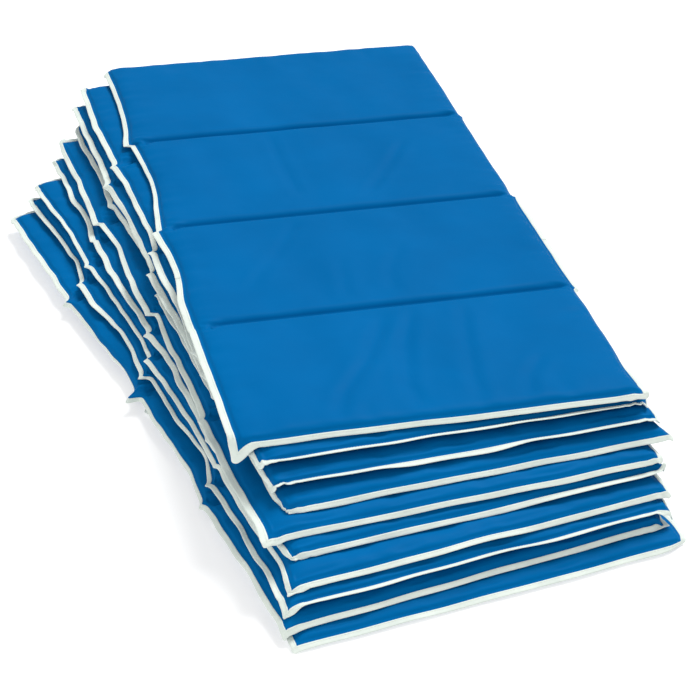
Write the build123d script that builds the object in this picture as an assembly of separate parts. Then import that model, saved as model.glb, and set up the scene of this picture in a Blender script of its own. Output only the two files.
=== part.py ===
from build123d import *

import os
from math import cos, radians

# A pile of ten folding rest mats, each of four foam panels in a vinyl cover with a bound edge. Each
# mat lifts off the one below. The top mat folds in a zigzag at its seams: the first and third fold
# turn about a line half of CLEARANCE above its top face, and the second about one as far below it.
#
# Lengths are in millimetres. A mat's own frame has its origin at the front left corner of its middle
# plane, +X to the right along the front edge and +Y to the back. The part's origin is on the floor,
# under the middle of the pile, with its axes along those of the top mat.

# ---- driving dimensions ----
MAT_COUNT = 10
PANEL_COUNT = 4
MAT_WIDTH = 610.0  # 24 in
MAT_LENGTH = 1220.0  # 48 in, laid flat
PITCH = 19.0  # the height that one mat takes in the pile
CLEARANCE = 0.4  # air between a mat and the next
VINYL = 0.4  # one cover sheet
TAPE = 0.5  # the binding tape
BINDING_WIDTH = 10.0  # how far the tape, folded over the edge, reaches in
BINDING_TO_PAD = 2.0
PAD_SPACING = 12.0  # between two panels' pads, where the covers meet in a seam
FOLD_GAP = 1.0  # the folding mat's sheets stop this far from a seam's middle, where real ones bend
EDGE_TO_SHEET = 1.0  # the cover sheets stop this far inside the tape's outer edge
SIDE_TAPER = 25.0  # degrees: a pad's sides lean in from its middle plane

# How the mats lie: each is further forward and more turned than the one above it, with small
# differences because the pile was made by hand.
FORWARD_STEP = 28.0
TURN_STEP = 1.15  # degrees
SIDE_SHIFTS = [0, 17, 28, 41, 20, 37, 31, 22, 16, 27]
TURN_SLIPS = [0, 1.7, 2.0, 2.0, 1.3, 1.9, 2.4, 1.2, 1.3, -1.2]
FORWARD_SLIPS = [0, 0, 3, 6, 10, 4, 20, 12, 2, -8]

# ---- sizes that follow from those ----
FOAM_THICKNESS = PITCH - CLEARANCE - 2 * VINYL
EDGE = BINDING_WIDTH + BINDING_TO_PAD
PAD_WIDTH = MAT_WIDTH - 2 * EDGE
PAD_LENGTH = (MAT_LENGTH - 2 * EDGE - (PANEL_COUNT - 1) * PAD_SPACING) / PANEL_COUNT
SHEET_FOOT = VINYL / cos(radians(SIDE_TAPER))  # how far a sheet on a pad's side stands out from the foam
BINDING_HALF = VINYL + TAPE  # half the thickness of the bound edge
MAT_HALF = (PITCH - CLEARANCE) / 2


def pad_centre(panel):
    """The place along the mat of a panel's middle, counting panels from 1 at the front."""
    return EDGE + PAD_LENGTH / 2 + (panel - 1) * (PAD_LENGTH + PAD_SPACING)


def seam_centre(seam):
    """The place along the mat of the seam behind that panel."""
    return pad_centre(seam) + (PAD_LENGTH + PAD_SPACING) / 2


def mat_height(mat):
    """The height above the floor of a mat's middle plane, counting mats from 1 at the top."""
    return MAT_HALF + (MAT_COUNT - mat) * PITCH


def block(x0, x1, y0, y1, z0, z1):
    """A plain box between six planes."""
    return Pos((x0 + x1) / 2, (y0 + y1) / 2, (z0 + z1) / 2) * Box(x1 - x0, y1 - y0, z1 - z0)


def half_pad(panel, side, grow=0.0, height=FOAM_THICKNESS / 2):
    """Half of a pad, from its middle plane up (side 1) or down (side -1), with sloping sides."""
    outline = Rectangle(PAD_WIDTH + 2 * grow, PAD_LENGTH + 2 * grow)
    shape = extrude(outline, amount=height, taper=SIDE_TAPER)
    if side < 0:
        shape = mirror(shape, about=Plane.XY)
    return Pos(MAT_WIDTH / 2, pad_centre(panel), 0) * shape


def foam_pad(panel):
    """One foam pad, thickest over its flat faces and thin at its edges."""
    return half_pad(panel, 1) + half_pad(panel, -1)


def cover_sheet(side):
    """The upper or lower vinyl sheet: flat at the edges and seams, raised over each pad."""
    low, high = (0, VINYL) if side > 0 else (-VINYL, 0)
    sheet = block(
        EDGE_TO_SHEET, MAT_WIDTH - EDGE_TO_SHEET,
        EDGE_TO_SHEET, MAT_LENGTH - EDGE_TO_SHEET,
        low, high,
    )
    for panel in range(1, PANEL_COUNT + 1):
        sheet += half_pad(panel, side, SHEET_FOOT, FOAM_THICKNESS / 2 + VINYL)
    for panel in range(1, PANEL_COUNT + 1):
        sheet -= half_pad(panel, side)
    return sheet


def edge_binding():
    """The tape folded over the sheets' edges, all the way round the mat."""
    tape = block(0, MAT_WIDTH, 0, MAT_LENGTH, -BINDING_HALF, BINDING_HALF)
    tape -= block(
        BINDING_WIDTH, MAT_WIDTH - BINDING_WIDTH,
        BINDING_WIDTH, MAT_LENGTH - BINDING_WIDTH,
        -BINDING_HALF, BINDING_HALF,
    )
    tape -= block(
        EDGE_TO_SHEET, MAT_WIDTH - EDGE_TO_SHEET,
        EDGE_TO_SHEET, MAT_LENGTH - EDGE_TO_SHEET,
        -VINYL, VINYL,
    )
    return tape


def stretch(shape, start, end):
    """What lies of a shape between two places along the mat, as a list of its solids."""
    window = block(-1, MAT_WIDTH + 1, start, end, -PITCH, PITCH)
    return list((shape & window).solids())


def panel_limits(panel):
    """Where a panel of the folding mat starts and ends, just short of the middle of its seams."""
    start, end = 0.0, MAT_LENGTH
    if panel > 1:
        start = seam_centre(panel - 1) + FOLD_GAP
    if panel < PANEL_COUNT:
        end = seam_centre(panel) - FOLD_GAP
    return start, end


def folding_mat():
    """The top mat's nodes, cut at its seams into four panels that turn on each other."""
    upper, lower, tape = cover_sheet(1), cover_sheet(-1), edge_binding()
    nodes = {}
    for panel in range(1, PANEL_COUNT + 1):
        limits = panel_limits(panel)
        name = f"mat_01_panel_{panel}"
        nodes[f"{name}_top_cover"] = stretch(upper, *limits)
        nodes[f"{name}_bottom_cover"] = stretch(lower, *limits)
        nodes[f"{name}_foam_pad"] = [foam_pad(panel)]
        nodes[f"{name}_edge_binding"] = stretch(tape, *limits)
    return nodes


def flat_mat(mat):
    """A lower mat's nodes, each in one piece because the pile holds it flat."""
    name = f"mat_{mat:02d}"
    return {
        f"{name}_top_cover": [cover_sheet(1)],
        f"{name}_bottom_cover": [cover_sheet(-1)],
        f"{name}_foam_pads": [foam_pad(panel) for panel in range(1, PANEL_COUNT + 1)],
        f"{name}_edge_binding": [edge_binding()],
    }


def place_in_pile(mat):
    """Where a mat lies, counting from 1 at the top, before the pile is centred."""
    step = mat - 1
    forward = step * FORWARD_STEP + FORWARD_SLIPS[step]
    turn = step * TURN_STEP + TURN_SLIPS[step]
    return Location((SIDE_SHIFTS[step], -forward, mat_height(mat)), (0, 0, turn))


def footprint_centre():
    """The middle of the box round every mat's outline, seen from above."""
    corners = []
    for mat in range(1, MAT_COUNT + 1):
        place = place_in_pile(mat)
        for x in (0, MAT_WIDTH):
            for y in (0, MAT_LENGTH):
                corners.append((place * Pos(x, y, 0)).position)
    xs, ys = [c.X for c in corners], [c.Y for c in corners]
    return (min(xs) + max(xs)) / 2, (min(ys) + max(ys)) / 2


CENTRE = footprint_centre()


def in_frame(mat):
    """A mat's place in the finished part, whose origin is the footprint's centre on the floor."""
    return Pos(-CENTRE[0], -CENTRE[1], 0) * place_in_pile(mat)


def build():
    """Every node's name with its solids, in place."""
    nodes = {}
    for mat in range(1, MAT_COUNT + 1):
        made = folding_mat() if mat == 1 else flat_mat(mat)
        for name, solids in made.items():
            nodes[name] = [in_frame(mat) * s for s in solids]
    return nodes


def export(nodes):
    """Writes one STEP for each node."""
    os.makedirs("parts", exist_ok=True)
    for name, shapes in nodes.items():
        solids = [solid for shape in shapes for solid in shape.solids()]
        export_step(Compound(solids), f"parts/{name}.step")


NODES = build()
export(NODES)
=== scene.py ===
import math

import bmesh
import bpy
import numpy as np
from mathutils import Matrix, Vector


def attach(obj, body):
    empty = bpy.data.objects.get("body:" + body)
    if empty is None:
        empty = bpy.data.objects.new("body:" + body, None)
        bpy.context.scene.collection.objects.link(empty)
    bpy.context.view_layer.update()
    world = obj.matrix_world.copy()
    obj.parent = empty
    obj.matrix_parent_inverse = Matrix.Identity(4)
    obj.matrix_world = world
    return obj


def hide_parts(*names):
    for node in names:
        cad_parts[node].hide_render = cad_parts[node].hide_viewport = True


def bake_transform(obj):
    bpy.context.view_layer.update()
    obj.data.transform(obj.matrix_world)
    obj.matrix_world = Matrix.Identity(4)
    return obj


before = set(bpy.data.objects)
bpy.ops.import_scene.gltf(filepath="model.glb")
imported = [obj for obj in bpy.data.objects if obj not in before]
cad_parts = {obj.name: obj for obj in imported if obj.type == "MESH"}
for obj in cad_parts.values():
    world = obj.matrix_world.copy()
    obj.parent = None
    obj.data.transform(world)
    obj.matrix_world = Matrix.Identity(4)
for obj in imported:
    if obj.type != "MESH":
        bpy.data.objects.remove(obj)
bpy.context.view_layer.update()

# A pile of ten folding rest mats. Each mat is a vinyl cover, padded with four foam panels, with a white
# tape folded over its edge. Lengths here are in millimetres in a mat's own frame: its origin is the front
# left corner of the middle plane, +X runs right along the front edge and +Y to the back. A point of the
# flat, cut mat is (u, v), and the functions below say where it lies once the mat is made and piled.

MM = 0.001
MATS = range(1, 11)
PANELS = range(1, 5)
TOP_MAT = 1

# ---- what a mat is made of ----
TAPE_REACH = 7.8  # how far the tape comes in from the edge
TAPE_HALF = 1.15  # half the thickness of the bound edge
CORNER = 7.0  # radius of the mat's corners, seen from above
FOOT = 12.0  # where the padded part starts, from the edge
SHOULDER = 17.0  # the width of its rounded ends, and of its sides below
SIDE_SHOULDER = 23.0
SHEET_HALF = 0.45  # half the thickness where the two sheets lie on each other
SEAM_FOOT = 3.0  # the flat of a seam, each side of its middle
SEAM_SHOULDER = 12.0
STITCH = 4.4  # the length of one stitch with its gap
STITCH_DEPTH = 6.0  # the stitching's distance from the edge
STITCH_SURFACE = 1.02  # the tape's height off the middle, there
THREAD = 0.36  # its radius
SEAM_THREAD_START = 27.0  # where a seam's stitching starts, from the mat's side
SEAM_THREAD_SINK = 0.1  # how deep it lies in the sheet

# ---- how far in from an edge or corner its lie still tells ----
SIDE_REACH = 42.0  # a drawn-in side, as the length of its fading
END_REACH = 30.0  # a drawn-in end
SLACK_FROM = 6.0  # tape that runs along itself moves the sheet fully to here
SLACK_OVER = 22.0  # and then less and less over this width
BEND_OVER = 5.0  # a drooping flange bends down over this much of its length
TUCK_SHARE = 0.75  # how much of a tucked-under edge the padding fills out
TIP_REACH = 34.0  # a hanging corner
CORNER_REACH = 24.0  # a drawn-in corner
DIAGONAL = 0.7  # its movement along each side
LOOP_HALF = 8.0  # half the length of a loop of spare tape at a seam
PANEL_STEP = 4.2  # half of the step from one panel's edge to the next
DROOP_STEP = 30.0  # the length over which the droop changes at a seam
REST_GAP = 0.15  # air between a bound edge and the mats that it rests on or under
PAD_GAP = 0.7  # and what the settled pads are taken to stand out or lie low
PAD_SINK = 1.1

# ---- the sheets' small relief ----
SURFACE_WAVE = 0.15
END_FOLDS = 0.55  # folds that run in from the front and back edges
SIDE_FOLDS = 0.7
FRONT_LINE = 21.0  # a long fold beside each lower mat's front edge: its place, depth and width
FRONT_LINE_DEPTH = 2.2
FRONT_LINE_WIDTH = 3.5
PUCKER_LENGTH = 34.0  # puckers beside a seam's ends
PUCKER_PITCH = 15.0
PUCKER_TOP = 0.9
PUCKER_LOWER = 2.4
DENT_DEPTH = 3.6  # where a lower mat's seam meets its side
DENT_HALF = 13.0
DENT_PLACE = 28.0
DENT_REACH = 16.0

# ---- how each mat's edges lie, from the top of the pile down ----
# Front edge: (place from the left as a share of the width, droop in degrees; below zero it tips up).
FRONT_DROOP = {
    1: [(0, 50), (1, 45)],
    2: [(0, -24), (1, -22)],
    3: [(0, -22), (0.28, -18), (0.36, 20), (0.55, 14), (0.64, -16), (1, -22)],
    4: [(0, 50), (1, 50)],
    5: [(0, 50), (0.5, 52), (1, 48)],
    6: [(0, 48), (0.58, 48), (0.78, -2), (1, -8)],
    7: [(0, 46), (0.40, 34), (0.52, 16), (0.62, 50), (1, 50)],
    8: [(0, -14), (0.5, -24), (1, -20)],
    9: [(0, 50), (1, 50)],
    10: [(0, 32), (1, 28)],
}
# Left edge: how far it is drawn in, for each panel from the front, at five places along the panel.
LEFT_PULL = {
    1: [(-12, -12, -12, -13, -13), (-14, -14, -5, -6, -16), (-8, 2, 11, 8, 1), (-11, 0, 4, 4, 0)],
    2: [(0, -2, -5, -9, -12), (-14, -11, -9, -13, -11), (-5, 0, -3, -3, -12), (-7, -9, -10, -8, -4)],
    3: [(0, -2, -5, -8, -9), (-10, -12, -12, -17, -17), (-12, -11, -10, -10, -18), (-13, -8, -8, -7, -5)],
    4: [(0, -3, -4, -6, -8), (-8, -10, -10, -12, -10), (-8, 0, 1, -3, -10), (-9, -3, -1, -3, 2)],
    5: [(-8, -14, -15, -13, -11), (-8, -2, -1, 2, 8), (-6, -7, -1, 4, -4), (-14, -8, -3, -3, -2)],
    6: [(0, -4, -8, -10, -12), (-12, -9, -7, -3, -13), (-6, -8, -12, -10, -8), (-13, 1, -2, 2, 3)],
    7: [(-6, 7, 2, 5, 7), (3, 7, 9, 6, 2), (11, 15, 14, 12, 6), (5, 11, 9, 4, 1)],
    8: [(-5, 1, 2, 4, 3), (1, 20, 14, 13, 13), (1, 11, 10, -4, -5), (0, 12, 8, 1, -4)],
    9: [(-4, -3, -1, -1, 0), (-5, 8, 9, 8, 13), (3, 10, 2, -1, -8), (-2, -3, -4, -6, -8)],
    10: [(-5, 0, 3, 1, -2), (-4, 5, 6, 3, -3), (-2, 4, 5, 2, -4), (-2, 3, 4, 2, -2)],
}
# The same edge's droop in degrees, one for each panel from the front.
LEFT_DROOP = {
    1: (12, 18, 14, 22), 2: (50, 15, 25, 15), 3: (58, 20, 60, 15), 4: (62, 22, 55, 10),
    5: (10, 22, 16, 30), 6: (45, 30, 10, 15), 7: (45, 24, 20, 10), 8: (10, 20, 16, 10),
    9: (45, 55, 90, 18), 10: (20, 30, 40, 30),
}
# How far a loop of spare tape stands out at each seam of the left edge, from the front.
LEFT_LOOPS = {
    1: (0, 0, 0), 2: (3, 6, 3), 3: (4, 3, 5), 4: (3, 4, 4), 5: (4, 2, 0),
    6: (3, 5, 0), 7: (2, 2, 5), 8: (5, 7, 4), 9: (5, 22, 10), 10: (3, 4, 3),
}
# The top mat's right edge is tucked under, but for its front corner and its second panel.
TOP_RIGHT_DROOP = [
    (0, 12), (0.065, 12), (0.08, 98), (0.235, 98), (0.26, 12), (0.49, 4), (0.51, 98), (1, 96),
]
# How far the right edge is drawn in, where it shows. The other mats have seeded values.
RIGHT_PULL = {
    1: [(-9, 0, 1, 1, 0), (-5, -4, -4, -4, -5), (2, 2, 3, 2, 1), (3, 2, 1, 2, 1)],
    8: [(-12, -3, 3, 3, -3), (-3, 3, 5, 2, -3), (-3, 4, 3, 6, -3), (-3, 5, 4, 3, -3)],
    9: [(-11, -6, -2, 0, -3), (-3, 2, 3, 2, -3), (-3, 2, 3, 2, -3), (-3, 2, 3, 2, -3)],
    10: [(-26, -22, -11, -4, -3), (-3, 3, 4, 3, -3), (-3, 4, 3, 2, -3), (-3, 2, 4, 3, -3)],
}
# The right edge's droop in degrees over the front panel, where it shows.
RIGHT_FRONT_DROOP = {10: 16}
# How far each front corner hangs down, how far it is drawn in, and how crumpled its tape is.
FRONT_LEFT_TIP = {1: 26, 2: 5, 3: 6, 4: 6, 5: 2, 6: 5, 7: 9, 8: 14, 9: 6, 10: 2}
FRONT_RIGHT_TIP = {1: 2, 2: 8, 3: 7, 4: -2, 5: 2, 6: -5, 7: 6, 8: 14, 9: 15, 10: 2}
FRONT_LEFT_PULL = {1: 2, 2: 5, 3: 6, 4: 6, 5: -7, 6: 4, 7: 0, 8: 2, 9: 0, 10: 1}
FRONT_RIGHT_PULL = {1: 2, 2: 7, 3: 3, 4: -2, 5: 5, 6: 9, 7: 4, 8: 3, 9: 2, 10: 16}
FRONT_LEFT_CRUMPLE = {1: 0.5, 2: 2.2, 3: 2.2, 4: 1.6, 5: 1.0, 6: 1.6, 7: 0.8, 8: 1.8, 9: 0.6, 10: 0.4}
FRONT_RIGHT_CRUMPLE = {1: 1.2, 2: 2.4, 3: 1.2, 4: 0.5, 5: 1.4, 6: 2.4, 7: 1.0, 8: 2.4, 9: 2.4, 10: 0.6}
BACK_DROOP = {1: 80, 2: 55, 3: 30, 4: 12, 5: -8, 6: 35, 7: 10, 8: 30, 9: 2, 10: 25}

# Soft creases of the top mat's upper sheet: places along each, then its depth and its width.
CREASES = [
    ([(244, 905), (241, 780), (246, 650)], 1.8, 8),
    ([(480, 836), (417, 735), (350, 635)], 2.5, 8),
    ([(230, 596), (158, 479), (92, 379)], 1.6, 9),
    ([(260, 459), (242, 329)], 1.5, 9),
    ([(374, 490), (330, 400), (319, 325)], 1.6, 11),
    ([(288, 285), (227, 161), (173, 84), (149, 16)], 3.0, 10),
    ([(339, 300), (298, 202), (270, 90), (275, 12)], 3.0, 10),
    ([(416, 300), (389, 183), (369, 78), (372, 14)], 3.0, 10),
    ([(494, 134), (454, 78), (436, 18)], 2.2, 9),
]


def node_points(name):
    """A CAD node's vertices, in millimetres."""
    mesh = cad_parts[name].data
    points = np.empty(len(mesh.vertices) * 3)
    mesh.vertices.foreach_get("co", points)
    return points.reshape(-1, 3) / MM


def tape_nodes(mat):
    """The names of a mat's edge binding nodes."""
    if mat == TOP_MAT:
        return [f"mat_01_panel_{panel}_edge_binding" for panel in PANELS]
    return [f"mat_{mat:02d}_edge_binding"]


class Place:
    """Where a mat lies: its front left corner, its two directions and its size."""

    def __init__(self, mat):
        points = np.concatenate([node_points(name) for name in tape_nodes(mat)])
        x, y, z = points.T
        lean = 0.01
        front_left = points[np.argmin(y + lean * x)]
        front_right = points[np.argmax(x - lean * y)]
        back_left = points[np.argmin(x - lean * y)]
        self.middle = (z.min() + z.max()) / 2
        self.origin = front_left[:2]
        self.width = np.linalg.norm((front_right - front_left)[:2])
        self.length = np.linalg.norm((back_left - front_left)[:2])
        self.across = (front_right - front_left)[:2] / self.width
        self.along = np.array([-self.across[1], self.across[0]])

    def local(self, plan):
        """Points of the part's plan, in the mat's frame."""
        away = plan - self.origin
        return away @ self.across, away @ self.along

    def world(self, points):
        """Points of the mat's frame, in the part's frame."""
        plan = self.origin + points[..., :1] * self.across + points[..., 1:2] * self.along
        return np.concatenate([plan, points[..., 2:] + self.middle], -1)


PLACES = {mat: Place(mat) for mat in MATS}
WIDTH = PLACES[TOP_MAT].width
LENGTH = PLACES[TOP_MAT].length
HALF = PLACES[10].middle - 0.05  # half the thickness of a padded panel


def seam_places():
    """The middles of the three seams along the mat."""
    found = []
    for panel in (1, 2, 3):
        near = node_points(f"mat_01_panel_{panel}_foam_pad")[:, 1].max()
        far = node_points(f"mat_01_panel_{panel + 1}_foam_pad")[:, 1].min()
        found.append((near + far) / 2 - PLACES[TOP_MAT].origin[1])
    return found


SEAMS = seam_places()
ENDS = [0.0] + SEAMS + [LENGTH]
CUTS = [(ENDS[1] + ENDS[2]) / 2, (ENDS[2] + ENDS[3]) / 2]  # where the top mat's pieces meet


# ---- small tools ----
def smooth(t):
    t = np.clip(t, 0, 1)
    return t * t * (3 - 2 * t)


def bump(t):
    """1 at 0 and falling to nothing past about 2."""
    return np.exp(-t * t)


def through(points, t):
    """A smooth curve through a few (place, value) points."""
    places = [p for p, _ in points]
    values = [q for _, q in points]
    fine = np.linspace(0, 1, 121)
    line = np.interp(fine, places, values)
    window = np.hanning(13)
    padded = np.pad(line, 6, mode="edge")
    return np.interp(t, fine, np.convolve(padded, window / window.sum(), mode="valid"))


def five_point(values, t):
    """A smooth curve through five values spread evenly over t from 0 to 1, level beyond its ends."""
    t = np.clip(t, 0, 1) * 4
    index = np.minimum(t.astype(int), 3)
    part = t - index
    known = np.array([2 * values[0] - values[1], *values, 2 * values[4] - values[3]], float)
    a, b, c, d = (known[index + k] for k in range(4))
    return b + 0.5 * part * (c - a + part * (2 * a - 5 * b + 4 * c - d + part * (3 * (b - c) + d - a)))


class Wave:
    """Smooth noise along a line, of about unit height, made of a few sines."""

    def __init__(self, rng, longest, shortest, count=7):
        self.length = np.geomspace(longest, shortest, count)
        self.phase = rng.uniform(0, 2 * np.pi, count)
        self.height = rng.uniform(0.5, 1.0, count) / math.sqrt(count / 2)

    def __call__(self, s):
        s = np.asarray(s)[..., None]
        return (self.height * np.sin(2 * np.pi * s / self.length + self.phase)).sum(-1)


class Field:
    """Smooth noise over a plane, of about unit height."""

    def __init__(self, rng, longest, shortest, count=11, stretch=(1, 1)):
        lengths = np.geomspace(longest, shortest, count)
        angles = rng.uniform(0, np.pi, count)
        self.kx = 2 * np.pi / lengths * np.cos(angles) / stretch[0]
        self.ky = 2 * np.pi / lengths * np.sin(angles) / stretch[1]
        self.phase = rng.uniform(0, 2 * np.pi, count)

    def __call__(self, u, v):
        waves = np.sin(u[..., None] * self.kx + v[..., None] * self.ky + self.phase)
        return waves.sum(-1) / math.sqrt(self.phase.size / 2)


def rounded(distance, foot, width, power=2.1):
    """A padded part's height as a share, rising from its foot like a superellipse."""
    t = np.clip((distance - foot) / width, 0, 1)
    return (1 - (1 - t) ** power) ** (1 / power)


def flange(reach, droop):
    """How far out and down a flap of that length gets, when it bends down over its first few mm."""
    steps = 6
    out = np.zeros_like(reach)
    down = np.zeros_like(reach)
    for step in range(steps):
        here = reach * (step + 0.5) / steps
        angle = droop * smooth(here / BEND_OVER)
        out += np.cos(angle) * reach / steps
        down += np.sin(angle) * reach / steps
    return out, down


def seam_hook(u):
    """How far a seam turns forward where it ends, near the left side."""
    return 8 * smooth((44 - u) / 26)


def crease(u, v, points, depth, width):
    """The relief of a soft groove along a line of places, with low banks, fading at both ends."""
    lengths = [math.dist(a, b) for a, b in zip(points, points[1:])]
    whole = sum(lengths)
    nearest = np.full(u.shape, 1e9)
    along = np.zeros(u.shape)
    done = 0
    for (au, av), (bu, bv), length in zip(points, points[1:], lengths):
        t = np.clip(((u - au) * (bu - au) + (v - av) * (bv - av)) / length ** 2, 0, 1)
        distance = np.hypot(u - au - t * (bu - au), v - av - t * (bv - av))
        closer = distance < nearest
        nearest = np.where(closer, distance, nearest)
        along = np.where(closer, (done + t * length) / whole, along)
        done += length
    fade = smooth(along / 0.2) * smooth((1 - along) / 0.2)
    return depth * fade * (0.5 * bump(nearest / width - 1.9) - bump(nearest / width))


class Shape:
    """One mat's made-up form: how its sheets, edges and seams lie."""

    def __init__(self, mat):
        self.mat = mat
        rng = np.random.default_rng(100 + mat)
        self.ruffle = 0.3 if mat == TOP_MAT else 0.8
        seeded_pull = [(-3, *rng.uniform(1, 8, 3), -3) for _ in PANELS]
        self.right_pull = RIGHT_PULL.get(mat, seeded_pull)
        self.right_droop = rng.uniform(15, 70, 4)
        self.right_droop[0] = RIGHT_FRONT_DROOP.get(mat, self.right_droop[0])
        self.right_loops = rng.uniform(0, 5, 3)
        self.side_wave = {side: Wave(rng, 260, 60, 5) for side in "lr"}
        self.tilt_wave = {side: Wave(rng, 300, 80, 5) for side in "lrfb"}
        self.end_wave = {side: Wave(rng, 420, 120, 5) for side in "fb"}
        self.surface = Field(rng, 240, 70)
        self.flange_wave = Wave(rng, 90, 40, 5)
        self.front_folds = Wave(rng, 120, 34)
        self.side_folds = Wave(rng, 90, 26)
        self.fold_line = Wave(rng, 300, 90, 5)
        self.fold_share = Wave(rng, 400, 120, 5)
        self.first_waves = Field(rng, 300, 60, 14)
        self.first_ripples = Field(rng, 90, 30, 14)
        self.tips = {
            "fl": FRONT_LEFT_TIP[mat],
            "fr": FRONT_RIGHT_TIP[mat],
            "bl": rng.uniform(-5, 6),
            "br": rng.uniform(-4, 6),
        }
        self.corner_pull = {
            "fl": FRONT_LEFT_PULL[mat],
            "fr": FRONT_RIGHT_PULL[mat],
            "bl": rng.uniform(1, 9),
            "br": rng.uniform(1, 7),
        }
        self.crumple = {
            "fl": FRONT_LEFT_CRUMPLE[mat],
            "fr": FRONT_RIGHT_CRUMPLE[mat],
            "bl": rng.uniform(0.5, 2.2),
            "br": rng.uniform(0.5, 2),
        }
        self.crumple_field = Field(rng, 30, 14, 9)

    def along_panels(self, v, panels):
        """A value along the mat from each panel's five, with a quick step from panel to panel."""
        total = np.zeros_like(v)
        for start, end, values in zip(ENDS, ENDS[1:], panels):
            low = smooth((v - start) / (2 * PANEL_STEP) + 0.5) if start > 0 else np.ones_like(v)
            high = 1 - smooth((v - end) / (2 * PANEL_STEP) + 0.5) if end < LENGTH else np.ones_like(v)
            total = total + five_point(values, (v - start) / (end - start)) * low * high
        return total

    def panel_values(self, v, values):
        """Each panel's own value, changing quickly but smoothly at the seams."""
        total = np.full_like(v, values[0], dtype=float)
        for seam, before, after in zip(SEAMS, values, values[1:]):
            total += (after - before) * smooth((v - seam) / DROOP_STEP + 0.5)
        return total

    def edge_pull(self, side, v):
        """How far a side edge is drawn in, with the loops of spare tape at its seams."""
        panels = LEFT_PULL[self.mat] if side == "l" else self.right_pull
        pull = self.along_panels(v, panels) + 1.1 * self.ruffle * self.side_wave[side](v)
        for seam, loop in zip(SEAMS, self.loops(side)):
            pull = pull - loop * bump((v - seam) / LOOP_HALF)
        return pull

    def loops(self, side):
        return LEFT_LOOPS[self.mat] if side == "l" else self.right_loops

    def edge_shift(self, side, v):
        """How far the edge runs back along itself at a seam, where its tape is slack."""
        shift = np.zeros_like(v)
        for seam, loop in zip(SEAMS, self.loops(side)):
            t = (v - seam) / 7.0
            shift = shift - 2.8 * t * bump(t / 1.5) - 0.3 * loop * bump(t / 1.4)
        return shift

    def droop(self, side, s):
        """An edge's droop, in radians, at a place along it."""
        top = self.mat == TOP_MAT
        if side == "f":
            return np.radians(through(FRONT_DROOP[self.mat], s / WIDTH) + 2 * self.tilt_wave["f"](s))
        if side == "b":
            return np.radians(BACK_DROOP[self.mat] + 5 * self.tilt_wave["b"](s))
        if side == "r" and top:
            return np.radians(through(TOP_RIGHT_DROOP, s / LENGTH))
        values = LEFT_DROOP[self.mat] if side == "l" else self.right_droop
        wobble = (4 if top else 9) * self.tilt_wave[side](s)
        return np.radians(self.panel_values(s, values) + wobble)

    def tucked(self, side, s):
        """How far the top mat's padding fills out where its right or back edge is tucked under."""
        if self.mat != TOP_MAT or side not in "rb":
            return 0
        out, _ = flange(np.full(np.shape(s), FOOT), self.droop(side, s))
        return TUCK_SHARE * (FOOT - out)

    def middle(self, u, v):
        """Where a point of the mat's middle sheet lies."""
        x = u.copy()
        y = v.copy()
        z = np.zeros_like(u)
        near = {"l": u, "r": WIDTH - u, "f": v, "b": LENGTH - v}
        for side in "lr":
            inward = 1 if side == "l" else -1
            d = near[side]
            fall = np.exp(-np.maximum(d, 0) / SIDE_REACH)
            close = 1 - smooth((d - SLACK_FROM) / SLACK_OVER)
            x += inward * self.edge_pull(side, v) * fall
            y += self.edge_shift(side, v) * close
            out, down = flange(np.maximum(FOOT - d, 0), self.droop(side, v))
            x += inward * (np.maximum(FOOT - d, 0) - out - self.tucked(side, v) * fall)
            z -= down
        for side in "fb":
            inward = 1 if side == "f" else -1
            d = near[side]
            fall = np.exp(-np.maximum(d, 0) / END_REACH)
            y += inward * (1.0 + 0.9 * self.end_wave[side](u)) * fall
            out, down = flange(np.maximum(FOOT - d, 0), self.droop(side, u))
            y += inward * (np.maximum(FOOT - d, 0) - out - self.tucked(side, u) * fall)
            z -= down
        for name, tip in self.tips.items():
            away = near[name[0]] + near[name[1]]
            z -= tip * smooth((TIP_REACH - away) / TIP_REACH)
            pull = DIAGONAL * self.corner_pull[name] * bump(away / CORNER_REACH)
            x += pull if name[1] == "l" else -pull
            y += pull if name[0] == "f" else -pull
            close = self.crumple[name] * bump(away / TIP_REACH)
            x += 0.6 * close * self.crumple_field(u + 50, v)
            y += 0.6 * close * self.crumple_field(u, v + 50)
            z += 0.9 * close * self.crumple_field(u, v)
        reach = np.maximum(FOOT + 3 - np.minimum.reduce(list(near.values())), 0) / (FOOT + 3)
        z += 0.6 * self.ruffle * self.flange_wave(v + 0.3 * u) * smooth(reach * 2)
        x, y, z = self.resting(x, y, z, smooth(reach * 3))
        return np.stack([x, y, z], -1)

    def resting(self, x, y, z, free):
        """Keeps the free edges off the mats above and below, and off the floor."""
        place = PLACES[self.mat]
        plan = place.world(np.stack([x, y, z], -1))[..., :2]
        low = np.full_like(z, -place.middle)
        high = np.full_like(z, 1e3)
        for other in MATS:
            if other == self.mat or abs(other - self.mat) > 3:
                continue
            u, v = PLACES[other].local(plan)
            beyond = 0
            if other in RIGHT_PULL:
                beyond = np.maximum(0, -self.along_panels(v, RIGHT_PULL[other]))
            inside = np.minimum.reduce([u, WIDTH - u + beyond, v, LENGTH - v])
            padded = rounded(inside, 9, 20) * (HALF - PAD_SINK)
            height = np.where(inside > -1, SHEET_HALF + PAD_GAP + padded, -1e3)
            offset = PLACES[other].middle - place.middle
            if other > self.mat:
                low = np.maximum(low, np.where(inside > -1, offset + height, -1e3))
            else:
                high = np.minimum(high, np.where(inside > -1, offset - height, 1e3))
        clear = TAPE_HALF + REST_GAP
        low = low + clear
        high = np.maximum(high - clear, low)
        held = np.minimum(np.maximum(z, low), high)
        return x, y, z + (held - z) * free

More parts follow.
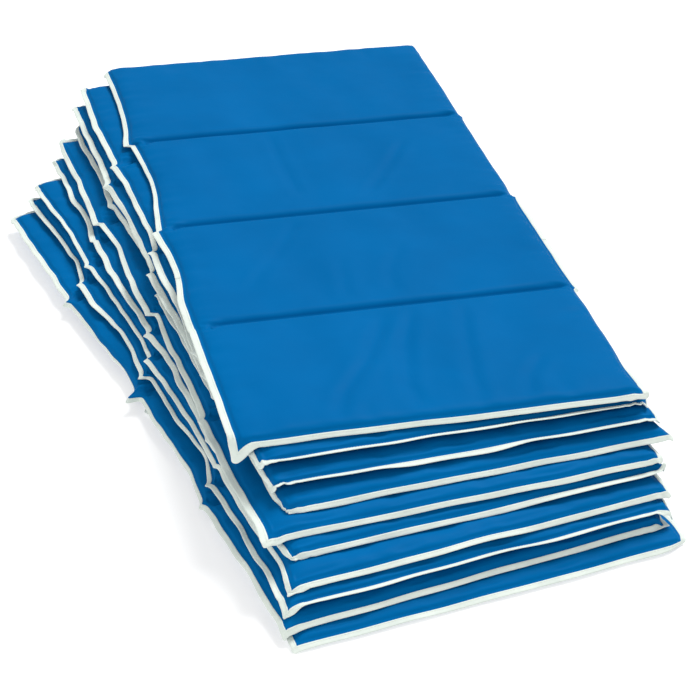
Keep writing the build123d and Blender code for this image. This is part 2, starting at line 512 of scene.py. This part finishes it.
    def thickness(self, u, v):
        """Half the mat's thickness at a point."""
        d = {"l": u, "r": WIDTH - u, "f": v, "b": LENGTH - v}
        share = np.ones_like(u)
        for side in "lr":
            share = share * rounded(d[side], FOOT, SIDE_SHOULDER)
        for side in "fb":
            share = share * rounded(d[side], FOOT, SHOULDER)
        side = np.minimum(d["l"], d["r"])
        beside = 1 - smooth((side - 18) / 16)
        lost = 0.8 * beside if self.mat == TOP_MAT else 0  # the top seams stop short of the sides
        wide = 1 if self.mat == TOP_MAT else 1 + 0.5 * beside
        for seam in SEAMS:
            across = np.abs(v - seam + seam_hook(u))
            groove = rounded(across / wide, SEAM_FOOT, SEAM_SHOULDER, 1.8)
            share = share * (1 - (1 - groove) * (1 - lost))
        return SHEET_HALF + (HALF - SHEET_HALF) * share

    def sheet_relief(self, u, v):
        """The small waves and puckers of a cover sheet."""
        d = {"l": u, "r": WIDTH - u, "f": v, "b": LENGTH - v}
        edge = np.minimum.reduce(list(d.values()))
        relief = SURFACE_WAVE * self.surface(u, v) - (0.1 if self.mat == TOP_MAT else 0.6)
        front = smooth((d["f"] - FOOT) / 6) * (1 - smooth((d["f"] - 30) / 60))
        back = smooth((d["b"] - FOOT) / 6) * (1 - smooth((d["b"] - 30) / 60))
        relief += END_FOLDS * self.front_folds(u + 0.15 * v) * (front + back)
        if self.mat != TOP_MAT:
            line = (d["f"] - FRONT_LINE - 2 * self.fold_line(u)) / FRONT_LINE_WIDTH
            relief -= FRONT_LINE_DEPTH * bump(line) * smooth(0.5 + 0.6 * self.fold_share(u))
        beside = np.minimum(d["l"], d["r"])
        side = smooth((beside - FOOT) / 6) * (1 - smooth((beside - 26) / 40))
        relief += SIDE_FOLDS * self.side_folds(v) * side
        for seam in SEAMS:
            across = v - seam
            pucker = smooth((edge - FOOT) / 8) * bump(across / PUCKER_LENGTH) * bump((edge - 24) / 20)
            folds = PUCKER_TOP if self.mat == TOP_MAT else PUCKER_LOWER
            relief += folds * pucker * np.cos(2 * np.pi * across / PUCKER_PITCH + u / 9)
            if self.mat != TOP_MAT:
                dent = bump(across / DENT_HALF) * bump((beside - DENT_PLACE) / DENT_REACH)
                relief -= DENT_DEPTH * dent
        if self.mat == TOP_MAT:
            for points, depth, width in CREASES:
                relief += crease(u, v, points, depth, width)
        return relief * smooth((edge - FOOT) / 5)


def normals(points, u, v):
    """Unit normals of a surface given on a grid of places, columns along u and rows along v."""
    along_u = np.gradient(points, u, axis=1)
    along_v = np.gradient(points, v, axis=0)
    cross = np.cross(along_u, along_v)
    return cross / np.maximum(np.linalg.norm(cross, axis=-1, keepdims=True), 1e-9)


# ---- where the flat cut is sampled ----
def edge_steps():
    return [1.0, 3.0, 5.5, 8.0, 10.5, 12.2, 13.4, 14.6, 16.2, 18.2, 20.8, 24.0, 28.0, 33.0]


def lines_between(start, end, step):
    count = max(1, round((end - start) / step))
    return list(np.linspace(start, end, count + 1)[1:-1])


def across_lines():
    """Places across the mat, close together near the sides."""
    near = edge_steps()
    far = [WIDTH - d for d in reversed(near)]
    return np.array(near + lines_between(near[-1], far[0], 8.0) + far)


def along_lines():
    """Places along the mat, close together at the ends and the seams."""
    near = edge_steps()
    around = [1.2, 2.4, 3.8, 5.4, 7.2, 9.2, 12.0, 15.0, 18.5, 23.0, 28.0]
    marks = list(near)
    for index, seam in enumerate(SEAMS):
        seam_lines = [seam - d for d in reversed(around)] + [seam] + [seam + d for d in around]
        if index in (1, 2):
            marks += lines_between(marks[-1], CUTS[index - 1], 6.0) + [CUTS[index - 1]]
        marks += lines_between(marks[-1], seam_lines[0], 6.0) + seam_lines
    far = [LENGTH - d for d in reversed(near)]
    return np.array(marks + lines_between(marks[-1], far[0], 6.0) + far)


U_LINES = across_lines()
V_LINES = along_lines()


def round_corners(u, v):
    """Moves the square grid's corners onto the mat's rounded ones."""
    inset = U_LINES[0]
    radius = CORNER - inset
    a = np.minimum(u, WIDTH - u)
    b = np.minimum(v, LENGTH - v)
    p = np.clip((CORNER - a) / radius, 0, 1)
    q = np.clip((CORNER - b) / radius, 0, 1)
    inside = (a < CORNER) & (b < CORNER)
    a2 = np.where(inside, CORNER - radius * p * np.sqrt(1 - q * q / 2), a)
    b2 = np.where(inside, CORNER - radius * q * np.sqrt(1 - p * p / 2), b)
    return np.where(u < WIDTH / 2, a2, WIDTH - a2), np.where(v < LENGTH / 2, b2, LENGTH - b2)


class Perimeter:
    """Samples along the mat's outline, anticlockwise from the left side's back end."""

    def __init__(self):
        corner_turns = np.linspace(0, np.pi / 2, 9)[1:-1]
        v_side = np.array([v for v in V_LINES if CORNER < v < LENGTH - CORNER])
        u_side = np.array([u for u in U_LINES if CORNER < u < WIDTH - CORNER])
        v_side = np.concatenate([[CORNER], v_side, [LENGTH - CORNER]])
        u_side = np.concatenate([[CORNER], u_side, [WIDTH - CORNER]])
        base, inward = [], []

        def straight(points, direction):
            for point in points:
                base.append(point)
                inward.append(direction)

        def corner(cx, cy, start):
            for turn in corner_turns:
                out = np.array([math.cos(start + turn), math.sin(start + turn)])
                base.append(np.array([cx, cy]) + CORNER * out)
                inward.append(-out)

        straight([(0, v) for v in v_side[::-1]], (1, 0))
        corner(CORNER, CORNER, np.pi)
        straight([(u, 0) for u in u_side], (0, 1))
        corner(WIDTH - CORNER, CORNER, 1.5 * np.pi)
        straight([(WIDTH, v) for v in v_side], (-1, 0))
        corner(WIDTH - CORNER, LENGTH - CORNER, 0)
        straight([(u, LENGTH) for u in u_side[::-1]], (0, -1))
        corner(CORNER, LENGTH - CORNER, 0.5 * np.pi)
        self.base = np.array(base, float)
        self.inward = np.array(inward, float)

    def inset(self, depth):
        """The flat places at that distance in from the outline."""
        places = self.base + self.inward * depth
        if depth <= 0:
            return places
        return np.clip(places, depth, [WIDTH - depth, LENGTH - depth])

    def runs(self, start, end):
        """Lists of sample numbers whose places lie between two places along the mat."""
        keep = (self.base[:, 1] > start - 0.01) & (self.base[:, 1] < end + 0.01)
        if keep.all():
            return [(np.arange(len(keep)), True)]
        order = np.arange(len(keep))
        first = int(np.argmax(~keep))
        order = np.roll(order, -first)
        found, current = [], []
        for index in order:
            if keep[index]:
                current.append(index)
            elif current:
                found.append((np.array(current), False))
                current = []
        if current:
            found.append((np.array(current), False))
        return found


OUTLINE = Perimeter()


# ---- cloth ----
CLOTH_STEP = 11.0  # the solver's grid
CLOTH_FRAMES = 16
CLOTH_SPARE = 0.003  # how much larger the sheet is cut than the pad it covers
CLOTH_PRESSURE = 0.05
CLOTH_SHARE = 0.55  # the foam that the solver leaves out holds the sheet this close
CLOTH_LIMIT = 3.6  # the furthest that a point may sink
TOP_RISE = 1.8  # and rise, on the pile's top face


def solver_lines(length):
    return np.linspace(1.0, length - 1.0, round(length / CLOTH_STEP) + 1)


def run_cloth(points, held):
    """Lets the cloth solver settle a grid of points in metres, with some of them held."""
    rows, columns = held.shape
    sheet = new_mesh("settling_sheet", points.reshape(-1, 3), grid_faces(rows, columns, 0, False), None)
    group = sheet.vertex_groups.new(name="held")
    group.add(np.flatnonzero(held).tolist(), 1.0, "REPLACE")
    cloth = sheet.modifiers.new("cloth", "CLOTH")
    cloth.collision_settings.use_collision = False
    cloth.collision_settings.use_self_collision = False
    settings = cloth.settings
    settings.quality = 5
    settings.mass = 0.3
    settings.tension_stiffness = 30
    settings.compression_stiffness = 30
    settings.shear_stiffness = 12
    settings.bending_stiffness = 10
    settings.air_damping = 3.0
    settings.vertex_group_mass = "held"
    settings.shrink_min = -CLOTH_SPARE
    settings.use_pressure = True
    settings.uniform_pressure_force = CLOTH_PRESSURE
    settings.effector_weights.gravity = 0
    scene = bpy.context.scene
    for frame_number in range(1, CLOTH_FRAMES + 1):
        scene.frame_set(frame_number)
    settled = sheet.evaluated_get(bpy.context.evaluated_depsgraph_get())
    found = np.empty(rows * columns * 3)
    settled.data.vertices.foreach_get("co", found)
    mesh = sheet.data
    bpy.data.objects.remove(sheet)
    bpy.data.meshes.remove(mesh)
    scene.frame_set(1)
    return found.reshape(rows, columns, 3)


def settle(shape):
    """How far the solver lets a mat's sheet rise or sink, at each place of the fine grid."""
    u_lines, v_lines = solver_lines(WIDTH), solver_lines(LENGTH)
    u, v = np.meshgrid(u_lines, v_lines)
    flat = np.stack([u, v], -1)
    start = surface_at(shape, flat, shape.thickness(u, v)[..., None])
    edge = np.minimum.reduce([u, WIDTH - u, v, LENGTH - v])
    side = np.minimum(u, WIDTH - u)
    held = edge < FOOT + 2
    for seam in SEAMS:
        held |= (np.abs(v - seam) < CLOTH_STEP * 0.6) & (side > 28)
    normal = normals(start, u_lines, v_lines)
    first = (0.5 * shape.first_waves(u, 0.35 * v) + 0.1 * shape.first_ripples(u, v)) * ~held
    end = run_cloth((start + normal * first[..., None]) * MM, held) / MM
    rise = ((end - start) * normal).sum(-1)
    for near, far in zip(ENDS, ENDS[1:]):
        rows = (v_lines > near) & (v_lines < far)
        rise[rows] -= np.median(rise[rows][:, 6:-6])
    rise *= CLOTH_SHARE * smooth((edge - FOOT) / 12)
    return resample(resample(rise, v_lines, V_LINES).T, u_lines, U_LINES).T


def resample(values, lines, places):
    """A smooth curve through evenly spaced rows, at other places."""
    index = np.clip((places - lines[0]) / (lines[1] - lines[0]), 0, len(lines) - 1.001)
    row = index.astype(int)
    part = (index - row)[:, None]
    a, b, c, d = (values[np.clip(row + k, 0, len(lines) - 1)] for k in (-1, 0, 1, 2))
    return b + 0.5 * part * (c - a + part * (2 * a - 5 * b + 4 * c - d + part * (3 * (b - c) + d - a)))


# ---- from numbers to meshes ----
def new_mesh(name, points, faces, material):
    """A smooth-shaded mesh object from points in metres and its faces."""
    mesh = bpy.data.meshes.new(name)
    mesh.from_pydata(points.tolist(), [], faces)
    if material is not None:
        mesh.materials.append(material)
    mesh.polygons.foreach_set("use_smooth", [True] * len(mesh.polygons))
    mesh.update()
    made = bpy.data.objects.new(name, mesh)
    bpy.context.scene.collection.objects.link(made)
    return made


def cover_points(shape):
    """A mat's upper and lower sheets as two grids of points in the part's frame."""
    settled = settle(shape)
    u, v = np.meshgrid(U_LINES, V_LINES)
    flat_u, flat_v = round_corners(u, v)
    middle = shape.middle(flat_u, flat_v)
    normal = normals(middle, U_LINES, V_LINES)
    most = TOP_RISE if shape.mat == TOP_MAT else 0
    relief = np.clip(shape.sheet_relief(flat_u, flat_v) + settled, -CLOTH_LIMIT, most)
    half = np.maximum(shape.thickness(flat_u, flat_v) + relief, 0.8 * SHEET_HALF)
    rim = np.zeros_like(half)
    rim[1:-1, 1:-1] = 1
    upper = middle + normal * (half * rim)[..., None]
    below = np.maximum(half - np.maximum(relief, 0), 0.8 * SHEET_HALF)
    lower = middle - normal * (below * rim)[..., None]
    place = PLACES[shape.mat]
    return place.world(upper), place.world(lower)


def grid_faces(rows, columns, offset, flip):
    """The four-sided faces of a grid of vertices."""
    faces = []
    for r in range(rows - 1):
        for c in range(columns - 1):
            a = offset + r * columns + c
            face = (a, a + 1, a + columns + 1, a + columns)
            faces.append(face[::-1] if flip else face)
    return faces


def cover_piece(name, upper, lower, rows, material):
    """A closed cover between two grids that meet at their edges, for those rows along the mat."""
    top = upper[rows]
    bottom = lower[rows]
    count, columns = top.shape[:2]
    points = np.concatenate([top.reshape(-1, 3), bottom.reshape(-1, 3)])
    faces = grid_faces(count, columns, 0, False)
    faces += grid_faces(count, columns, count * columns, True)
    below = count * columns
    for r in range(count - 1):
        for c in (0, columns - 1):
            a, b = r * columns + c, (r + 1) * columns + c
            faces.append((a, b, below + b, below + a))
    first_end = len(faces)
    for r in (0, count - 1):
        for c in range(columns - 1):
            a = r * columns + c
            faces.append((a, a + 1, below + a + 1, below + a))
    made = new_mesh(name, points * MM, faces, material)
    weld(made, range(first_end, len(faces)) if count < len(upper) else ())
    return made


def weld(made, ends=()):
    """Joins points that lie on each other and turns the faces outwards. Cut ends keep sharp edges."""
    for index in ends:
        made.data.polygons[index].material_index = 1
    work = bmesh.new()
    work.from_mesh(made.data)
    bmesh.ops.remove_doubles(work, verts=work.verts, dist=2e-6)
    bmesh.ops.recalc_face_normals(work, faces=work.faces)
    for face in work.faces:
        if face.material_index == 1:
            face.material_index = 0
            face.smooth = False
            for edge in face.edges:
                edge.smooth = False
    work.to_mesh(made.data)
    work.free()


TAPE_SECTION = [
    (TAPE_REACH, 0.25), (TAPE_REACH + 0.05, 0.62), (TAPE_REACH - 0.25, 0.96), (TAPE_REACH - 1.2, 1.08),
    (STITCH_DEPTH, STITCH_SURFACE), (4.4, 1.14), (2.6, 1.16), (0.9, 1.1), (-0.1, 0.86), (-0.55, 0.45),
]


def tape_piece(name, shape, start, end, material):
    """The tape folded over the mat's edge, between two places along the mat."""
    section = TAPE_SECTION + [(-0.7, 0.0)] + [(d, -h) for d, h in reversed(TAPE_SECTION)]
    place = PLACES[shape.mat]
    rings = []
    for depth, height in section:
        rings.append(place.world(surface_at(shape, OUTLINE.inset(depth), height)))
    rings = np.stack(rings, 1)
    points, faces = [], []
    for indices, closed in OUTLINE.runs(start, end):
        sweep(points, faces, rings[indices], closed)
    return swept_object(name, points, faces, material)


def sweep(points, faces, block, closed):
    """Adds a tube through rings of points: its sides, and its ends where it isn't closed."""
    offset = sum(len(p) for p in points)
    rings, around = block.shape[:2]
    points.append(block.reshape(-1, 3))
    last = rings if closed else rings - 1
    for r in range(last):
        s = (r + 1) % rings
        for c in range(around):
            e = (c + 1) % around
            here, ahead = offset + r * around, offset + s * around
            faces.append((here + c, here + e, ahead + e, ahead + c))
    if not closed:
        faces.append(tuple(offset + c for c in range(around)))
        faces.append(tuple(offset + (rings - 1) * around + c for c in reversed(range(around))))


def swept_object(name, points, faces, material):
    made = new_mesh(name, np.concatenate(points) * MM, faces, material)
    weld(made)
    return made


def surface_at(shape, flat, height):
    """Points at a height off the middle sheet, at flat places."""
    u, v = flat[..., 0], flat[..., 1]
    step = 0.6
    here = shape.middle(u, v)
    by_u = shape.middle(u + step, v) - shape.middle(u - step, v)
    by_v = shape.middle(u, v + step) - shape.middle(u, v - step)
    normal = np.cross(by_u, by_v)
    normal /= np.maximum(np.linalg.norm(normal, axis=-1, keepdims=True), 1e-9)
    return here + normal * height


# ---- stitching ----
STITCH_RISES = [0.22, 0.22, -0.3]  # a thread's heights off the cloth, over one stitch


def stitch_places(flat, closed):
    """Places along a flat path, spaced for the heights of each stitch."""
    if closed:
        flat = np.concatenate([flat, flat[:1]])
    lengths = np.concatenate([[0], np.cumsum(np.linalg.norm(np.diff(flat, axis=0), axis=1))])
    count = len(STITCH_RISES) * max(1, round(lengths[-1] / STITCH))
    places = np.linspace(0, lengths[-1], count + 1)[:-1]
    return np.stack([np.interp(places, lengths, flat[:, k]) for k in (0, 1)], 1)


def add_thread(points, faces, shape, flat, height, closed):
    """One line of thread that dips into the cloth between its stitches. Its height is to its surface."""
    flat = stitch_places(flat, closed)
    rise = np.resize(STITCH_RISES, len(flat))
    level = height(flat) if callable(height) else np.full(len(flat), height)
    side = np.sign(level)
    centre = surface_at(shape, flat, (level + side * rise)[:, None])
    normal = surface_at(shape, flat, (level + side)[:, None]) - surface_at(shape, flat, level[:, None])
    ahead = np.roll(centre, -1, 0) - np.roll(centre, 1, 0)
    if not closed:
        ahead[0], ahead[-1] = centre[1] - centre[0], centre[-1] - centre[-2]
    across = np.cross(ahead, normal)
    across /= np.maximum(np.linalg.norm(across, axis=1, keepdims=True), 1e-9)
    turns = (0.785, 2.356, 3.927, 5.498)  # a square thread, in radians
    rings = [centre + THREAD * (math.cos(a) * normal + math.sin(a) * across) for a in turns]
    sweep(points, faces, PLACES[shape.mat].world(np.stack(rings, 1)), closed)


def binding_thread(name, shape, start, end, material):
    """The line of stitching that holds the tape, on both faces."""
    flat = OUTLINE.inset(STITCH_DEPTH)
    points, faces = [], []
    for indices, closed in OUTLINE.runs(start, end):
        for height in (STITCH_SURFACE, -STITCH_SURFACE):
            add_thread(points, faces, shape, flat[indices], height, closed)
    return swept_object(name, points, faces, material)


def seam_thread(name, shape, seams, material):
    """The line of stitching along each seam, on both faces."""
    u = np.arange(SEAM_THREAD_START, WIDTH - SEAM_THREAD_START, 4.0)
    points, faces = [], []
    for seam in seams:
        flat = np.stack([u, seam - seam_hook(u)], 1)
        for side in (1, -1):

            def height(places):
                return side * (shape.thickness(places[:, 0], places[:, 1]) - SEAM_THREAD_SINK)

            add_thread(points, faces, shape, flat, height, False)
    return swept_object(name, points, faces, material)


# ---- materials ----
def srgb(code):
    """A hex colour as the linear values that a shader wants."""
    values = [int(code[i:i + 2], 16) / 255 for i in (0, 2, 4)]
    linear = [c / 12.92 if c <= 0.04045 else ((c + 0.055) / 1.055) ** 2.4 for c in values]
    return (*linear, 1.0)


def blank_material(name):
    material = bpy.data.materials.new(name)
    material.use_nodes = True
    nodes = material.node_tree.nodes
    return material, nodes, material.node_tree.links, nodes["Principled BSDF"]


def noise(nodes, links, coordinates, scale, detail=4.0, roughness=0.55):
    node = nodes.new("ShaderNodeTexNoise")
    node.inputs["Scale"].default_value = scale
    node.inputs["Detail"].default_value = detail
    node.inputs["Roughness"].default_value = roughness
    links.new(coordinates, node.inputs["Vector"])
    return node.outputs["Fac"]


def ramp(nodes, links, source, low, high):
    """A value that runs from low to high as the source goes from 0.3 to 0.7."""
    node = nodes.new("ShaderNodeMapRange")
    node.inputs["From Min"].default_value = 0.3
    node.inputs["From Max"].default_value = 0.7
    node.inputs["To Min"].default_value = low
    node.inputs["To Max"].default_value = high
    links.new(source, node.inputs["Value"])
    return node.outputs["Result"]


def mix_colour(nodes, links, factor, first, second):
    node = nodes.new("ShaderNodeMix")
    node.data_type = "RGBA"
    node.inputs["A"].default_value = first
    node.inputs["B"].default_value = second
    links.new(factor, node.inputs["Factor"])
    return node.outputs["Result"]


def bump_from(nodes, links, height, distance, strength, before=None):
    node = nodes.new("ShaderNodeBump")
    node.inputs["Distance"].default_value = distance
    node.inputs["Strength"].default_value = strength
    links.new(height, node.inputs["Height"])
    if before is not None:
        links.new(before, node.inputs["Normal"])
    return node.outputs["Normal"]


def vinyl_material():
    """Blue coated vinyl: a fine pebbled grain over soft, slow changes of colour and gloss."""
    material, nodes, links, shader = blank_material("blue_vinyl")
    place = nodes.new("ShaderNodeTexCoord").outputs["Object"]
    slow = noise(nodes, links, place, 7.0, 3.0)
    colour = mix_colour(nodes, links, ramp(nodes, links, slow, 0, 1), srgb("005C97"), srgb("00619E"))
    links.new(colour, shader.inputs["Base Color"])
    rough = noise(nodes, links, place, 40.0, 5.0)
    links.new(ramp(nodes, links, rough, 0.44, 0.52), shader.inputs["Roughness"])
    grain = nodes.new("ShaderNodeTexVoronoi")
    grain.feature = "SMOOTH_F1"
    grain.inputs["Scale"].default_value = 900.0
    links.new(place, grain.inputs["Vector"])
    first = bump_from(nodes, links, grain.outputs["Distance"], 0.00012, 0.5)
    soft = noise(nodes, links, place, 60.0, 4.0)
    links.new(bump_from(nodes, links, soft, 0.0006, 0.35, first), shader.inputs["Normal"])
    shader.inputs["Specular IOR Level"].default_value = 0.012
    return material


def tape_material():
    """Off-white woven binding tape with a fine rib and slightly soiled patches."""
    material, nodes, links, shader = blank_material("white_tape")
    place = nodes.new("ShaderNodeTexCoord").outputs["Object"]
    slow = noise(nodes, links, place, 22.0, 5.0)
    colour = mix_colour(nodes, links, ramp(nodes, links, slow, 0, 1), srgb("D2DCD5"), srgb("DFE7DF"))
    links.new(colour, shader.inputs["Base Color"])
    weave = nodes.new("ShaderNodeTexBrick")
    weave.inputs["Scale"].default_value = 700.0
    weave.inputs["Mortar Size"].default_value = 0.12
    weave.inputs["Mortar Smooth"].default_value = 1.0
    links.new(place, weave.inputs["Vector"])
    first = bump_from(nodes, links, weave.outputs["Fac"], 0.00015, 0.35)
    fuzz = noise(nodes, links, place, 500.0, 3.0)
    links.new(bump_from(nodes, links, fuzz, 0.0003, 0.5, first), shader.inputs["Normal"])
    shader.inputs["Roughness"].default_value = 0.8
    shader.inputs["Specular IOR Level"].default_value = 0.25
    shader.inputs["Sheen Weight"].default_value = 0.1
    return material


# ---- the pile ----
def make_mat(mat, vinyl, tape):
    shape = Shape(mat)
    upper, lower = cover_points(shape)
    name = f"mat_{mat:02d}"
    if mat == TOP_MAT:
        make_folding_mat(shape, upper, lower, vinyl, tape)
        return
    cover = cover_piece(f"{name}_cover", upper, lower, slice(None), vinyl)
    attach(cover, name)
    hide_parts(f"{name}_top_cover", f"{name}_bottom_cover", f"{name}_foam_pads")
    edge = tape_piece(f"{name}_binding", shape, 0, LENGTH, tape)
    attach(edge, name)
    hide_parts(f"{name}_edge_binding")
    thread = binding_thread(f"{name}_binding_stitching", shape, 0, LENGTH, tape)
    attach(thread, name)
    seams = seam_thread(f"{name}_seam_stitching", shape, SEAMS, vinyl)
    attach(seams, name)


def fold_line(seam):
    """Points just in front of and behind a seam of the top mat."""
    place = PLACES[TOP_MAT]
    across = 9.0
    ends = np.array([[WIDTH / 2, SEAMS[seam] - across, 0], [WIDTH / 2, SEAMS[seam] + across, 0]])
    start, end = place.world(ends) * MM
    return tuple(start), tuple(end)


def make_folding_mat(shape, upper, lower, vinyl, tape):
    """The top mat in three pieces, each holding one of its seams."""
    stretches = [("front", 0, CUTS[0]), ("middle", CUTS[0], CUTS[1]), ("back", CUTS[1], LENGTH)]
    replaced = [(1, 2), (3,), (4,)]
    for seam, (part, start, end) in enumerate(stretches):
        rows = (V_LINES > start - 0.01) & (V_LINES < end + 0.01)
        cover = cover_piece(f"mat_01_{part}_cover", upper, lower, rows, vinyl)
        edge = tape_piece(f"mat_01_{part}_binding", shape, start, end, tape)
        thread = binding_thread(f"mat_01_{part}_binding_stitching", shape, start, end, tape)
        seam_line = seam_thread(f"mat_01_{part}_seam_stitching", shape, SEAMS[seam:seam + 1], vinyl)
        for piece in (cover, edge, thread, seam_line):
            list(fold_line(seam))
            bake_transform(piece)
        for panel in replaced[seam]:
            name = f"mat_01_panel_{panel}"
            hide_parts(f"{name}_top_cover", f"{name}_bottom_cover", f"{name}_foam_pad")
            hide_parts(f"{name}_edge_binding")


# ---- camera, floor and light ----
CAMERA_FROM_CORNER = np.array([-511.6, -2313.0, 1728.3])  # from the top mat's front left corner
CAMERA_AZIMUTH = -16.05  # degrees round from straight ahead of the pile's front
CAMERA_ELEVATION = 33.40
CAMERA_ROLL = 2.456
CAMERA_LENS = 107.5


def make_camera():
    azimuth, elevation, roll = map(math.radians, (CAMERA_AZIMUTH, CAMERA_ELEVATION, CAMERA_ROLL))
    back = Vector((
        math.sin(azimuth) * math.cos(elevation),
        -math.cos(azimuth) * math.cos(elevation),
        math.sin(elevation),
    ))
    level = Vector((0, 0, 1)).cross(back).normalized()
    up = back.cross(level)
    right = level * math.cos(roll) + up * math.sin(roll)
    up = back.cross(right)
    data = bpy.data.cameras.new("camera")
    data.lens = CAMERA_LENS
    data.sensor_width = 36.0
    camera = bpy.data.objects.new("camera", data)
    turn = Matrix((right, up, back)).transposed().to_4x4()
    corner = PLACES[TOP_MAT].world(CAMERA_FROM_CORNER)
    camera.matrix_world = Matrix.Translation(Vector(corner * MM)) @ turn
    bpy.context.scene.collection.objects.link(camera)
    bpy.context.scene.camera = camera


def make_floor():
    """A wide pale floor, with a faint light of its own that keeps the pile's shadow soft."""
    reach = 14.0
    points = np.array([[-reach, -reach, 0], [reach, -reach, 0], [reach, reach, 0], [-reach, reach, 0]])
    points[:, 2] = -0.0006
    material, nodes, links, shader = blank_material("pale_floor")
    place = nodes.new("ShaderNodeTexCoord").outputs["Object"]
    colour = mix_colour(nodes, links, noise(nodes, links, place, 3.0), srgb("CCCCCC"), srgb("CFCFCF"))
    links.new(colour, shader.inputs["Base Color"])
    shader.inputs["Roughness"].default_value = 0.9
    shader.inputs["Specular IOR Level"].default_value = 0.1
    shader.inputs["Emission Color"].default_value = (1, 1, 1, 1)
    shader.inputs["Emission Strength"].default_value = 0.5
    floor = new_mesh("floor", points, [(0, 1, 2, 3)], material)


def studio_light(name, kind, place, target, power):
    data = bpy.data.lights.new(name, kind)
    data.energy = power
    light = bpy.data.objects.new(name, data)
    light.location = place
    light.rotation_euler = (Vector(target) - Vector(place)).to_track_quat("-Z", "Y").to_euler()
    bpy.context.scene.collection.objects.link(light)
    return data


def make_light():
    """Even white surroundings, a wide soft light from high behind, and a weak one in front."""
    world = bpy.data.worlds.new("studio")
    world.use_nodes = True
    background = world.node_tree.nodes["Background"]
    background.inputs["Color"].default_value = (1, 1, 1, 1)
    background.inputs["Strength"].default_value = 0.52
    bpy.context.scene.world = world
    overhead = studio_light("overhead", "SUN", (2.1, 2.0, 4.2), (0, 0, 0), 2.93)
    overhead.angle = math.radians(26)
    fill = studio_light("fill", "AREA", (-2.6, -3.2, 2.6), (0, -0.2, 0.1), 60)
    fill.shape = "DISK"
    fill.size = 1.8
    bpy.context.scene.view_settings.view_transform = "Standard"


make_camera()
make_light()
make_floor()
VINYL_MATERIAL = vinyl_material()
TAPE_MATERIAL = tape_material()
for number in MATS:
    make_mat(number, VINYL_MATERIAL, TAPE_MATERIAL)
